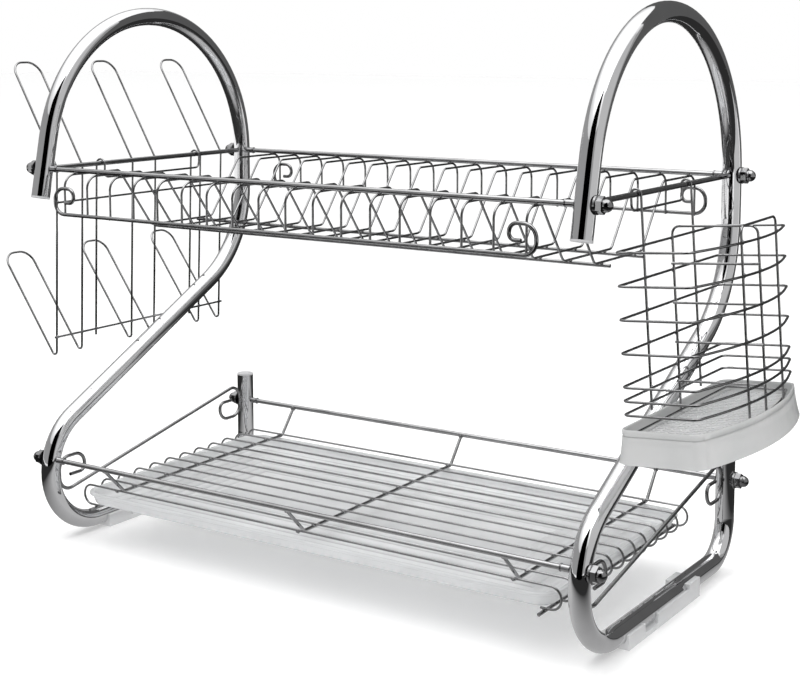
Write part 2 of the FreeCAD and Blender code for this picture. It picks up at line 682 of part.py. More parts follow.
def cutlery_basket():
    corners, bends = hook_corners(1, size("cutlery_hook_out"), size("cutlery_hook_in"),
                                  size("cutlery_hook_front"), size("cutlery_hook_back"),
                                  size("cutlery_hook_low"))
    path = placed_path(corners, bends, 1, RIGHT_TILT)
    add_node(swept_wire("cutlery_hook_wire", path, "wire_dia"), "cutlery_hook_wire")
    for index in range(RING_COUNT):
        w = ring_height(index)
        inset = size("ring_inset") if index == RING_COUNT - 1 else 0.0
        corners, bends = ring_outline(inset, w)
        path = placed_path(corners, bends, 1, RIGHT_TILT, closed=True)
        label = "cutlery_ring_%d" % (index + 1)
        add_node(swept_wire(label, path, "wire_dia"), label)


def cutlery_divider():
    """The ladder that divides the basket across its middle."""
    y, top, low = size("ladder_y"), size("divider_frame_w"), size("divider_leg_low")
    inner = size("ring_inner") + WIRE_TOUCH
    outer = bow_depth(y, WIRE_TOUCH)
    corners = [
        Vector(inner, y, low),
        Vector(inner, y, top),
        Vector(outer, y, top),
        Vector(outer, y, low),
    ]
    path = placed_path(corners, [0, size("frame_corner"), size("frame_corner"), 0], 1, RIGHT_TILT)
    add_node(swept_wire("cutlery_divider_frame", path, "wire_dia"), "cutlery_divider_frame")
    start = inner - WIRE_R
    rung = doc.addObject("Part::Cylinder", "cutlery_divider_rung")
    rung.setExpression("Radius", "sheet.wire_dia / 2")
    rung.Height = outer - inner + size("wire_dia")
    rung.Placement = Placement(Vector(start, y - WIRE_TOUCH, 0), Rotation(Vector(0, 0, 1), Vector(1, 0, 0)))
    top_rung, pitch = size("divider_rung_w"), size("divider_rung_pitch")
    heights = [top_rung - i * pitch for i in range(int(size("divider_rung_count")))]
    lean = Placement(Vector(FRAME_X, 0, size("upper_bolt_z")), Rotation(Vector(0, 1, 0), RIGHT_TILT))
    copies("cutlery_divider_rungs", rung, [lean.multiply(shift(z=w)) for w in heights])


def cutlery_stiffener():
    """An upside-down U against the inside of the bowed outer side."""
    front, back, top = size("stiffener_front"), size("stiffener_back"), size("stiffener_w")
    low = size("divider_leg_low")
    front_x, back_x = bow_depth(front, WIRE_TOUCH), bow_depth(back, WIRE_TOUCH)
    corners = [
        Vector(front_x, front, low),
        Vector(front_x, front, top),
        Vector(back_x, back, top),
        Vector(back_x, back, low),
    ]
    path = placed_path(corners, [0, size("frame_corner"), size("frame_corner"), 0], 1, RIGHT_TILT)
    add_node(swept_wire("cutlery_outer_stiffener", path, "wire_dia"), "cutlery_outer_stiffener")


def bow_depth(y, inset):
    """How far out the rings' bowed side is at a place along Y, less an inset across the wire."""
    radius, bulge = size("ring_bulge_radius"), size("ring_bulge")
    half_turn = math.atan2(bulge, size("ring_half"))
    peak = size("ring_inner") + size("ring_depth") + bulge - radius * (1 / math.cos(half_turn) - 1)
    offset = y - size("ring_middle")
    return peak - radius + math.sqrt((radius - inset) ** 2 - offset ** 2)


def outline_face(grow, w):
    """The basket's outline at height w, grown by a distance, as a wire."""
    corners, bends = ring_outline(-grow, w)
    return rounded_path(corners, bends, closed=True)


def loft(name, lower, upper):
    sections = []
    for part_name, outline in (("lower", lower), ("upper", upper)):
        section = doc.addObject("Part::Feature", "%s_%s" % (name, part_name))
        section.Shape = outline
        sections.append(section)
    body = doc.addObject("Part::Loft", name)
    body.Sections = sections
    body.Solid = True
    body.Ruled = True
    return body


def cutlery_cup():
    """The plastic cup that catches the drips: a flared skirt round a floor."""
    top, low, wall = size("cup_top_w"), size("cup_low_w"), size("cup_wall")
    inside = WIRE_R + size("cup_gap")
    outside, flare = inside + wall, size("cup_flare")
    shell = loft("cup_shell", outline_face(outside + flare, low), outline_face(outside, top))
    floor = size("cup_floor_w")
    hollow = loft("cup_hollow", outline_face(inside, floor), outline_face(inside, top + PAST))
    under = loft("cup_under", outline_face(inside + flare, low - PAST),
                 outline_face(inside + size("cup_under_flare"), floor - wall))
    cup = cut("cutlery_drip_cup", shell, fuse("cup_spaces", [hollow, under]))
    add_node(hung(cup, 1, RIGHT_TILT), "cutlery_drip_cup")


# ---------------------------------------------------------------- mug rack

def mug_rack():
    outer = size("mug_hook_out")
    corners, bends = hook_corners(-1, outer, size("mug_hook_in"), size("mug_hook_front"),
                                  size("mug_hook_back"), size("mug_hook_low"))
    path = placed_path(corners, bends, -1, LEFT_TILT)
    add_node(swept_wire("mug_hook_wire", path, "wire_dia"), "mug_hook_wire")
    for index in range(3):
        mug_prong(index + 1, size("prong_middle") + (index - 1) * size("prong_pitch"))
    bar_x = -(outer - WIRE_TOUCH)
    front, back = size("mug_bar_front"), size("mug_bar_back")
    for label, cell in (("mug_upper_bar", "mug_upper_bar_w"), ("mug_lower_bar", "mug_lower_bar_w")):
        ends = [Vector(bar_x, front, size(cell)), Vector(bar_x, back, size(cell))]
        path = placed_path(ends, [0, 0], -1, LEFT_TILT)
        add_node(swept_wire(label, path, "wire_dia"), label)


def mug_prong(number, y):
    """One closed wire: two uprights, joined over the upper prong's tip and the lower prong's tip."""
    outer, half = -size("mug_hook_out"), size("prong_wide") / 2
    side_profile = [
        Vector(-size("prong_upper_out"), 0, size("prong_upper_w")),
        Vector(outer, 0, size("prong_knee")),
        Vector(outer, 0, size("prong_low_w")),
        Vector(-size("prong_lower_out"), 0, size("prong_lower_w")),
    ]
    corners = [point + Vector(0, y - half, 0) for point in side_profile]
    corners += [point + Vector(0, y + half, 0) for point in reversed(side_profile)]
    tip = size("prong_tip_radius")
    side_bends = [tip, size("prong_knee_radius"), size("prong_foot_radius"), tip]
    path = placed_path(corners, side_bends + side_bends[::-1], -1, LEFT_TILT, closed=True)
    label = "mug_prong_wire_%d" % number
    add_node(swept_wire(label, path, "wire_dia"), label)


# ---------------------------------------------------------------- the whole rack

for side, sign in SIDES:
    side_tube(side, sign)
    hanging_rod(side, sign)
    scroll_brace(side, sign)
    foot_strip(side, sign)
    end_hooks(side, sign)
tie_rod("upper_front_rod", "upper_front_y", "upper_bolt_z")
tie_rod("upper_back_rod", "leg_reach", "upper_bolt_z")
tie_rod("lower_front_rod", "lower_front_y", "lower_bolt_z")
tie_rod("lower_back_rod", "stub_y", "lower_bolt_z")
fastenings()
plate_dividers()
scroll_rail("plate_front_rail", -1)
scroll_rail("plate_back_rail", 1)
plate_bottom_wires()
cross_wires()
grid_wires()
drip_tray()
cutlery_basket()
cutlery_divider()
cutlery_stiffener()
cutlery_cup()
mug_rack()
doc.recompute()

# The frame's origin is under the middle of the whole rack, with both baskets.
to_origin = shift(x=-size("middle_x"), y=-size("middle_y"))
for node in nodes:
    node.Placement = to_origin.multiply(node.Placement)
doc.recompute()

for thing in doc.Objects:
    if "Invalid" in thing.State or "Error" in thing.State:
        raise RuntimeError("%s failed: %s" % (thing.Name, thing.State))
for node in nodes:
    if node.Shape.isNull() or not node.Shape.isValid():
        raise RuntimeError("%s has no valid shape" % node.Label)

os.makedirs("parts", exist_ok=True)
for node in nodes:
    node.Shape.exportStep("parts/%s.step" % node.Label)
    print("%-26s %9.1f mm3, %d solids" % (node.Label, node.Shape.Volume, len(node.Shape.Solids)))
print("%d nodes" % len(nodes))
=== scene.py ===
"""The look of a chrome dish rack: materials, welds, collars, plastic parts, studio and camera, in metres."""

import json
import math
import random

import bmesh
import bpy
from mathutils import Matrix, Vector


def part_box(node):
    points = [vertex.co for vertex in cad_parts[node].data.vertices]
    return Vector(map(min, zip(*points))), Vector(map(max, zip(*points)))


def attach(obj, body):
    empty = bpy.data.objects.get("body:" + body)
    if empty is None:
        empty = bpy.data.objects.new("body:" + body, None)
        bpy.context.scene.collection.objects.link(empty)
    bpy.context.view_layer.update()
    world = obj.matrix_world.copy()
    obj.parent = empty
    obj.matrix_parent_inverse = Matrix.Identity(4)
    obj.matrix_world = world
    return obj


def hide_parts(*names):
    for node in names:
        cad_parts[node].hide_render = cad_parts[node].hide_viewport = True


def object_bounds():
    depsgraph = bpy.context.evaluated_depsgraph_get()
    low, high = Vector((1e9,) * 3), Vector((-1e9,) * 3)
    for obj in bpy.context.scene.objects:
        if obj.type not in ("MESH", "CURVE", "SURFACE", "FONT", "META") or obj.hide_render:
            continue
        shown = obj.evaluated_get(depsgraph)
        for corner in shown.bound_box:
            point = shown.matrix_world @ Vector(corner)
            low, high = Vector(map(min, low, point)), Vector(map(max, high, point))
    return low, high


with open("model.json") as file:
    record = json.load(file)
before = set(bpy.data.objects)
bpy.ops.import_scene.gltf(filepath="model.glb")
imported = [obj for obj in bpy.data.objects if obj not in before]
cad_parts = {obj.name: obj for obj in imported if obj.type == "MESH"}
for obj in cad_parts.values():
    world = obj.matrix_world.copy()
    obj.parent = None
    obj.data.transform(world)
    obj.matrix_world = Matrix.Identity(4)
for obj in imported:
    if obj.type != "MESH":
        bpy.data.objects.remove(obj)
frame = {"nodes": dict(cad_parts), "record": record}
CAD_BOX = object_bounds()
nodes = frame["nodes"]
MM = 0.001

RIGHT_LEAN = math.radians(4.2)   # the cutlery basket hangs at this lean
WIRE = 1.6 * MM                  # fine wire
ROD = 3.6 * MM                   # tie rods
CROSS = 2.4 * MM                 # cross wires and tray bars
TUBE = 13.6 * MM                 # side tubes
COLLAR = 6.0 * MM                # collar at each end of a tie rod
DIVIDERS = 18
GRID_WIRES = 12
RINGS = 8
RING_INNER = 4.5 * MM            # the rings' straight inner side, out from the hanging rod's axis
RING_DEPTH = 47.0 * MM           # their straight ends
RING_HALF = 79.0 * MM            # half their length
RING_NEAR_CORNER = 4.5 * MM      # corners at the inner side
RING_FAR_CORNER = 5.0 * MM       # corners at the bowed side
RING_BULGE = 20.5 * MM           # rise of the bowed side's tangents
BOW_RADIUS = 240.0 * MM
RUNG_PITCH = 25.0 * MM           # rungs of the cutlery basket's ladder
RUNG_DROP = 15.95 * MM           # its top rung, below the top ring
RUNGS = 4
CUP_TOP = -136.0                 # the cup's rim below the hanging rod's axis, in millimetres
CUP_LOW = -156.5
CUP_FLOOR = -143.0               # the top of its floor
TRAY_WALL = 1.4 * MM
TRAY_CORNER = 16.0 * MM
WASHER = 1.2 * MM                # thickness of the washers
HALF_CURL = 13.0 * MM            # half the height of a scroll brace's curl

# sizes of the lumps of weld metal
ROD_WELD = 1.15 * MM
RAIL_WELD = 1.05 * MM
BOTTOM_WELD = 1.0 * MM
GRID_WELD = 1.35 * MM
CROSS_END_WELD = 1.75 * MM
TRAY_BAR_WELD = 1.0 * MM
BRACE_WELD = 1.9 * MM
RING_WELD = 0.95 * MM
RUNG_WELD = 0.9 * MM
MUG_WELD = 0.95 * MM

# low ridges that let the water run off
TRAY_RIB_FIRST = 15              # millimetres in from the tray's edge
TRAY_RIB_LAST = 75
TRAY_RIB_PITCH = 10
TRAY_RIB_HIGH = 0.55 * MM
CUP_RIB_WIDE = 1.1 * MM
CUP_RIB_MARGIN = 4.5 * MM
CUP_CROSS_RIBS = 34
CUP_LONG_RIBS = 8
FOOT_EDGE = 0.9 * MM             # rounding of the foot strips' edges

FLOOR_HALF = 12.0                # metres
CARD_GAP = 0.4 * MM              # the ground card above the floor
CAMERA_PLACE = (0.6043, -0.8942, 0.3770)
CAMERA_TURN = (math.radians(83.78), 0.0, math.radians(33.22))
CAMERA_LENS = 68.46
CAMERA_SHIFT = (-0.0122, -0.1686)


# ------------------------------------------------------------------ materials

def new_material(name):
    """A material with its Principled shader, and the object's own coordinates."""
    material = bpy.data.materials.new(name)
    material.use_nodes = True
    tree = material.node_tree
    shader = tree.nodes["Principled BSDF"]
    place = tree.nodes.new("ShaderNodeTexCoord").outputs["Object"]
    return material, tree, shader, place


def noise(tree, place, scale, detail=3.0, roughness=0.5):
    node = tree.nodes.new("ShaderNodeTexNoise")
    node.inputs["Scale"].default_value = scale
    node.inputs["Detail"].default_value = detail
    node.inputs["Roughness"].default_value = roughness
    tree.links.new(place, node.inputs["Vector"])
    return node.outputs["Fac"]


def remap(tree, value, low, high, from_low=0.3, from_high=0.7):
    """Stretches the middle of a noise to a range of numbers."""
    node = tree.nodes.new("ShaderNodeMapRange")
    node.inputs["From Min"].default_value = from_low
    node.inputs["From Max"].default_value = from_high
    node.inputs["To Min"].default_value = low
    node.inputs["To Max"].default_value = high
    tree.links.new(value, node.inputs["Value"])
    return node.outputs["Result"]


def colours(tree, value, low, high):
    """A colour between two, by a number from 0 to 1."""
    node = tree.nodes.new("ShaderNodeMix")
    node.data_type = "RGBA"
    node.inputs["A"].default_value = (*low, 1)
    node.inputs["B"].default_value = (*high, 1)
    tree.links.new(value, node.inputs["Factor"])
    return node.outputs["Result"]


def bump(tree, shader, height, strength, distance):
    node = tree.nodes.new("ShaderNodeBump")
    node.inputs["Strength"].default_value = strength
    node.inputs["Distance"].default_value = distance
    tree.links.new(height, node.inputs["Height"])
    tree.links.new(node.outputs["Normal"], shader.inputs["Normal"])


def chrome(name, dull, bright, gloss, ripple):
    """Chrome plate: faint cloudiness, fine ripples left by polishing, and a little water film."""
    material, tree, shader, place = new_material(name)
    shader.inputs["Metallic"].default_value = 1.0
    cloud = remap(tree, noise(tree, place, 38.0, 4.0), 0.0, 1.0)
    tree.links.new(colours(tree, cloud, dull, bright), shader.inputs["Base Color"])
    film = noise(tree, place, 140.0, 5.0, 0.6)
    tree.links.new(remap(tree, film, gloss, gloss * 2.2), shader.inputs["Roughness"])
    bump(tree, shader, noise(tree, place, 420.0, 2.0), ripple, 0.1 * MM)
    return material


def weld_metal(name):
    """Plated weld metal: darker and rougher than the wires, with a pitted skin."""
    material, tree, shader, place = new_material(name)
    shader.inputs["Metallic"].default_value = 1.0
    scorch = remap(tree, noise(tree, place, 600.0, 4.0, 0.65), 0.0, 1.0)
    tree.links.new(colours(tree, scorch, (0.09, 0.09, 0.09), (0.42, 0.42, 0.43)), shader.inputs["Base Color"])
    tree.links.new(remap(tree, noise(tree, place, 900.0), 0.16, 0.4), shader.inputs["Roughness"])
    bump(tree, shader, noise(tree, place, 1500.0, 3.0), 0.5, 0.15 * MM)
    return material


def plastic(name, shade, tone, roughness, through, milk):
    """Moulded plastic: cloudy and slightly translucent, with a fine moulding texture."""
    material, tree, shader, place = new_material(name)
    shader.inputs["IOR"].default_value = 1.49
    shader.inputs["Transmission Weight"].default_value = through
    shader.inputs["Subsurface Weight"].default_value = milk
    shader.inputs["Subsurface Radius"].default_value = (1.0, 1.0, 1.0)
    shader.inputs["Subsurface Scale"].default_value = 0.006
    cloud = remap(tree, noise(tree, place, 22.0, 4.0), 0.0, 1.0)
    tree.links.new(colours(tree, cloud, shade, tone), shader.inputs["Base Color"])
    film = remap(tree, noise(tree, place, 90.0, 5.0, 0.6), roughness * 0.8, roughness * 1.35)
    tree.links.new(film, shader.inputs["Roughness"])
    bump(tree, shader, noise(tree, place, 700.0, 2.0), 0.12, 0.1 * MM)
    return material


CHROME_TUBE = chrome("chrome_tube", (0.72, 0.72, 0.73), (0.81, 0.81, 0.82), 0.025, 0.012)
# The rod, wire and fastener chrome are the same plating as the tube but have much darker base colours:
# painted shade that stands in for the dark surroundings these thin parts mirror.
CHROME_ROD = chrome("chrome_rod", (0.34, 0.34, 0.345), (0.48, 0.48, 0.485), 0.07, 0.03)
CHROME_WIRE = chrome("chrome_wire", (0.24, 0.24, 0.243), (0.38, 0.38, 0.384), 0.09, 0.03)
CHROME_NUT = chrome("chrome_fastener", (0.22, 0.22, 0.223), (0.34, 0.34, 0.344), 0.05, 0.02)
WELD = weld_metal("weld_metal")
TRAY = plastic("tray_plastic", (0.76, 0.77, 0.78), (0.87, 0.88, 0.89), 0.16, 0.35, 0.25)
CUP = plastic("cup_plastic", (0.55, 0.56, 0.56), (0.64, 0.64, 0.64), 0.2, 0.12, 0.3)
FOOT = plastic("foot_plastic", (0.86, 0.87, 0.88), (0.94, 0.94, 0.95), 0.2, 0.3, 0.25)
CAP = plastic("cap_plastic", (0.5, 0.5, 0.51), (0.6, 0.6, 0.61), 0.3, 0.0, 0.0)

LOOKS = {
    "chrome_tube": CHROME_TUBE,
    "chrome_rod": CHROME_ROD,
    "chrome_wire": CHROME_WIRE,
    "chrome_fastener": CHROME_NUT,
    "tray_plastic": TRAY,
    "cup_plastic": CUP,
    "foot_plastic": FOOT,
    "cap_plastic": CAP,
}


def dress_cad_nodes():
    """Gives every CAD node the look of its material slot."""
    for part in frame["record"]["subparts"]:
        node = nodes[part["node"]]
        node.data.materials.clear()
        node.data.materials.append(LOOKS[part["material_slot"]])


# ------------------------------------------------------------------ mesh helpers

def finish_piece(name, mesh, body, material, smooth=True):
    """Turns a bmesh into a named piece that moves with a body."""
    data = bpy.data.meshes.new(name)
    bmesh.ops.recalc_face_normals(mesh, faces=mesh.faces)
    mesh.to_mesh(data)
    mesh.free()
    for face in data.polygons:
        face.use_smooth = smooth
    piece = bpy.data.objects.new(name, data)
    bpy.context.scene.collection.objects.link(piece)
    data.materials.append(material)
    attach(piece, body)
    return piece


def middle_of(node):
    low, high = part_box(node)
    return (low + high) / 2


dress_cad_nodes()


# ------------------------------------------------------------------ welds

def bead(mesh, spot, size, rng, along=(0, 1, 0)):
    """One small lump of weld metal, longer along the wire that it holds."""
    turn = Vector(along).to_track_quat("X", "Z").to_matrix().to_4x4()
    stretch = Matrix.Diagonal((1.45, 1.0, 0.9, 1.0))
    place = Matrix.Translation(spot) @ turn @ stretch
    made = bmesh.ops.create_icosphere(mesh, subdivisions=2, radius=size, matrix=place)
    for vertex in made["verts"]:
        vertex.co += (vertex.co - Vector(spot)) * rng.uniform(-0.14, 0.14)


def weld_piece(name, body, spots, size, along=(0, 1, 0)):
    """All the beads of one kind of joint, as one piece."""
    rng = random.Random(name)
    mesh = bmesh.new()
    for spot in spots:
        bead(mesh, spot, size * rng.uniform(0.9, 1.12), rng, along)
    return finish_piece(name, mesh, body, WELD)


def evenly(low, high, count):
    return [low + (high - low) * i / (count - 1) for i in range(count)]


def plate_basket_welds():
    low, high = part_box("plate_dividers")
    places = evenly(low.x + WIRE / 2, high.x - WIRE / 2, DIVIDERS)
    for label in ("front", "back"):
        rod = middle_of("upper_%s_rod" % label)
        spots = [Vector((x, rod.y, rod.z - ROD / 2)) for x in places]
        weld_piece("upper_%s_rod_welds" % label, "rack", spots, ROD_WELD)
        rail_low, rail_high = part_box("plate_%s_rail" % label)
        y = rail_high.y if label == "front" else rail_low.y
        spots = [Vector((x, y, rail_low.z + CROSS / 2)) for x in places]
        weld_piece("plate_%s_rail_welds" % label, "rack", spots, RAIL_WELD, (0, 0, 1))
    low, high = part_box("plate_bottom_wires")
    rows = (low.y + CROSS / 2, high.y - CROSS / 2)
    spots = [Vector((x, y, high.z)) for x in places for y in rows]
    weld_piece("plate_bottom_welds", "rack", spots, BOTTOM_WELD)


def shelf_welds():
    low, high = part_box("lower_grid_wires")
    rows = evenly(low.y + WIRE / 2, high.y - WIRE / 2, GRID_WIRES)
    cross_low, cross_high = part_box("lower_cross_wires")
    columns = evenly(cross_low.x + CROSS / 2, cross_high.x - CROSS / 2, 3)
    spots = [Vector((x, y, low.z)) for x in columns for y in rows]
    weld_piece("grid_welds", "rack", spots, GRID_WELD, (1, 0, 0))
    knobs = []
    for label, reach in (("front", 1), ("back", -1)):
        rod = middle_of("lower_%s_rod" % label)
        down = Vector((0, reach, -1)).normalized()
        knobs += [Vector((x, rod.y, rod.z)) + down * ROD * 0.55 for x in columns]
    weld_piece("cross_wire_end_welds", "rack", knobs, CROSS_END_WELD, (0, 1, -1))
    for side in ("left", "right"):
        bar = middle_of("lower_%s_tray_bar" % side)
        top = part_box("lower_%s_tray_bar" % side)[1].z
        spots = [Vector((bar.x, y, top)) for y in rows]
        weld_piece("%s_tray_bar_welds" % side, "rack", spots, TRAY_BAR_WELD, (1, 0, 0))


def brace_welds():
    """Where each brace's curls touch the tube, at the front and at the back."""
    for side in ("left", "right"):
        low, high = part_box("%s_scroll_brace" % side)
        x = (low.x + high.x) / 2
        spots = [Vector((x, low.y, low.z + HALF_CURL)), Vector((x, high.y, high.z - HALF_CURL))]
        weld_piece("%s_brace_welds" % side, "rack", spots, BRACE_WELD, (0, 0, 1))


def hanging_point(u, y, w):
    """A point of the cutlery basket: out from the rod's axis, along Y, and up."""
    axis = middle_of("right_hanging_rod")
    out = u * math.cos(RIGHT_LEAN) - w * math.sin(RIGHT_LEAN)
    up = u * math.sin(RIGHT_LEAN) + w * math.cos(RIGHT_LEAN)
    return Vector((axis.x + out, y, axis.z + up))


def bow_depth(y, inset=0.0):
    """How far out the rings' bowed side is at a place along Y."""
    half_turn = math.atan2(RING_BULGE, RING_HALF)
    peak = RING_INNER + RING_DEPTH + RING_BULGE - BOW_RADIUS * (1 / math.cos(half_turn) - 1)
    offset = y - basket_middle()
    return peak - BOW_RADIUS + math.sqrt((BOW_RADIUS - inset) ** 2 - offset ** 2)


def basket_middle():
    return middle_of("cutlery_ring_1").y


def ring_height(index):
    """The height w of a ring, from where its inner side is."""
    axis = middle_of("right_hanging_rod")
    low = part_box("cutlery_ring_%d" % index)[0].z + WIRE / 2
    return (low - axis.z - RING_INNER * math.sin(RIGHT_LEAN)) / math.cos(RIGHT_LEAN)


def cutlery_welds():
    touch = WIRE / 2
    hook_low, hook_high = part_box("cutlery_hook_wire")
    stiff_low, stiff_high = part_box("cutlery_outer_stiffener")
    columns = [(RING_INNER - touch, hook_low.y + touch), (RING_INNER - touch, hook_high.y - touch)]
    ladder = middle_of("cutlery_divider_frame").y
    columns.append((RING_INNER + touch, ladder))
    for y in (stiff_low.y + touch, ladder, stiff_high.y - touch):
        columns.append((bow_depth(y, touch), y))
    spots = [hanging_point(u, y, ring_height(i)) for i in range(1, RINGS) for u, y in columns]
    weld_piece("cutlery_ring_welds", "cutlery_basket", spots, RING_WELD, (0, 0, 1))
    low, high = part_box("cutlery_divider_rungs")
    inner, outer = RING_INNER + WIRE, bow_depth(ladder, WIRE)
    top = ring_height(1) - RUNG_DROP
    heights = [top - i * RUNG_PITCH for i in range(RUNGS)]
    spots = [hanging_point(u, high.y, w) for u in (inner, outer) for w in heights]
    weld_piece("cutlery_rung_welds", "cutlery_basket", spots, RUNG_WELD, (0, 0, 1))


def mug_welds():
    touch = WIRE / 2
    uprights = []
    for name in ("mug_prong_wire_1", "mug_prong_wire_2", "mug_prong_wire_3", "mug_hook_wire"):
        low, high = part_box(name)
        uprights += [low.y + touch, high.y - touch]
    spots = []
    for name in ("mug_upper_bar", "mug_lower_bar"):
        bar = middle_of(name)
        spots += [Vector((bar.x - touch, y, bar.z)) for y in uprights]
    weld_piece("mug_bar_welds", "mug_rack", spots, MUG_WELD, (0, 0, 1))


# ------------------------------------------------------------------ lathed and lofted pieces

def skin(mesh, loops, closed=False, cap_first=False, cap_last=False):
    """Joins loops of points, each with the same count, into a surface."""
    rows = [[mesh.verts.new(point) for point in loop] for loop in loops]
    pairs = list(zip(rows, rows[1:]))
    if closed:
        pairs.append((rows[-1], rows[0]))
    for lower, upper in pairs:
        for i in range(len(lower)):
            k = (i + 1) % len(lower)
            mesh.faces.new((lower[i], lower[k], upper[k], upper[i]))
    if cap_first:
        mesh.faces.new(rows[0][::-1])
    if cap_last:
        mesh.faces.new(rows[-1])
    return rows


def lathe(mesh, centre, axis, profile, turns=28):
    """A ring round an axis. The profile has (radius, place along the axis) pairs, and closes."""
    frame_turn = Vector(axis).to_track_quat("Z", "Y").to_matrix()
    loops = []
    for radius, along in profile:
        ring = []
        for i in range(turns):
            angle = 2 * math.pi * i / turns
            local = Vector((radius * math.cos(angle), radius * math.sin(angle), along))
            ring.append(Vector(centre) + frame_turn @ local)
        loops.append(ring)
    skin(mesh, loops, closed=True)


def rod_collars():
    """The crimped lip at the inner end of each collar, next to the tubes."""
    inner, outer = ROD / 2 - 0.05 * MM, 2.62 * MM
    lip = [
        (inner, -0.9 * MM), (outer * 0.86, -0.75 * MM), (outer, -0.2 * MM),
        (outer, 0.35 * MM), (outer * 0.9, 0.6 * MM), (inner, 0.65 * MM),
    ]
    mesh = bmesh.new()
    for name in ("upper_front_rod", "upper_back_rod", "lower_front_rod", "lower_back_rod"):
        rod = middle_of(name)
        for side in ("left", "right"):
            tube = middle_of("%s_side_tube" % side)
            inward = 1 if side == "left" else -1
            x = tube.x + inward * (TUBE / 2 + COLLAR)
            lathe(mesh, (x, rod.y, rod.z), (inward, 0, 0), lip)
    finish_piece("rod_collar_lips", mesh, "rack", CHROME_NUT)


def nut_rims():
    """A rolled rim where each dome nut meets its washer."""
    mesh = bmesh.new()
    rim = [
        (4.2 * MM, 0), (4.75 * MM, 0.05 * MM), (4.9 * MM, 0.3 * MM),
        (4.75 * MM, 0.55 * MM), (4.2 * MM, 0.6 * MM),
    ]
    for name in ("upper_front_rod", "upper_back_rod", "lower_front_rod", "lower_back_rod"):
        rod = middle_of(name)
        for side, outward in (("left", -1), ("right", 1)):
            tube = middle_of("%s_side_tube" % side)
            x = tube.x + outward * (TUBE / 2 + WASHER)
            lathe(mesh, (x, rod.y, rod.z), (outward, 0, 0), rim)
    finish_piece("nut_flange_rims", mesh, "rack", CHROME_NUT)


def rounded_rectangle(centre, half_x, half_y, corner, height, steps=8):
    """A level loop of points with rounded corners."""
    points = []
    for quarter in range(4):
        sign_x = 1 if quarter in (0, 3) else -1
        sign_y = 1 if quarter in (0, 1) else -1
        for step in range(steps + 1):
            angle = math.pi / 2 * (quarter + step / steps)
            x = centre.x + sign_x * (half_x - corner) + corner * math.cos(angle)
            y = centre.y + sign_y * (half_y - corner) + corner * math.sin(angle)
            points.append(Vector((x, y, height)))
    return points


def drip_tray():
    """The tray: a rolled lip, walls that lean in, a filleted floor with stepped drainage ribs."""
    low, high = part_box("drip_tray")
    centre, half = (low + high) / 2, (high - low) / 2
    top, bottom = high.z, low.z
    floor_top = bottom + TRAY_WALL
    inside = [
        (0.35, top - 0.35 * MM), (1.0, top - 0.05 * MM), (2.2, top), (3.2, top - 0.35 * MM),
        (4.0, top - 1.4 * MM), (4.9, top - 4.2 * MM), (5.8, floor_top + 1.6 * MM),
        (7.2, floor_top + 0.4 * MM), (9.0, floor_top),
    ]
    rib_top = floor_top + TRAY_RIB_HIGH
    for start in range(TRAY_RIB_FIRST, TRAY_RIB_LAST, TRAY_RIB_PITCH):
        inside += [(start, floor_top), (start + 0.9, rib_top)]
        inside += [(start + 2.4, rib_top), (start + 3.3, floor_top)]
    outside = [
        (0.0, top - 1.0 * MM), (0.1, top - 1.9 * MM), (0.7, top - 2.4 * MM), (1.9, top - 2.7 * MM),
        (2.5, top - 3.4 * MM), (3.4, top - 6.0 * MM), (4.4, bottom + 1.5 * MM),
        (5.8, bottom + 0.3 * MM), (8.0, bottom),
    ]
    loops = []
    for inset, height in outside[::-1] + inside:
        depth = inset * MM
        corner = max(TRAY_CORNER - depth, 0.5 * MM)
        loops.append(rounded_rectangle(centre, half.x - depth, half.y - depth, corner, height))
    mesh = bmesh.new()
    skin(mesh, loops, cap_first=True, cap_last=True)
    tray = finish_piece("drip_tray_moulding", mesh, "drip_tray", TRAY)
    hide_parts("drip_tray")


def basket_outline(grow, w):
    """The cutlery basket's outline, grown outward: a rectangle with rounded corners and a bowed side."""
    middle = basket_middle()
    near, far = RING_NEAR_CORNER, RING_FAR_CORNER
    bow_end = math.asin((RING_HALF - far) / (BOW_RADIUS - far))
    peak = bow_depth(middle)
    bow_centre = peak - BOW_RADIUS
    far_u = bow_centre + (BOW_RADIUS - far) * math.cos(bow_end)
    arcs = [
        (RING_INNER + near, -RING_HALF + near, near, math.pi, 1.5 * math.pi, 8),
        (far_u, -RING_HALF + far, far, 1.5 * math.pi, 2 * math.pi - bow_end, 8),
        (bow_centre, 0.0, BOW_RADIUS, -bow_end, bow_end, 26),
        (far_u, RING_HALF - far, far, bow_end, math.pi / 2, 8),
        (RING_INNER + near, RING_HALF - near, near, math.pi / 2, math.pi, 8),
    ]
    points = []
    for u, offset, radius, start, end, steps in arcs:
        for step in range(steps + 1):
            angle = start + (end - start) * step / steps
            across = u + (radius + grow) * math.cos(angle)
            points.append(hanging_point(across, middle + offset + (radius + grow) * math.sin(angle), w))
    return points


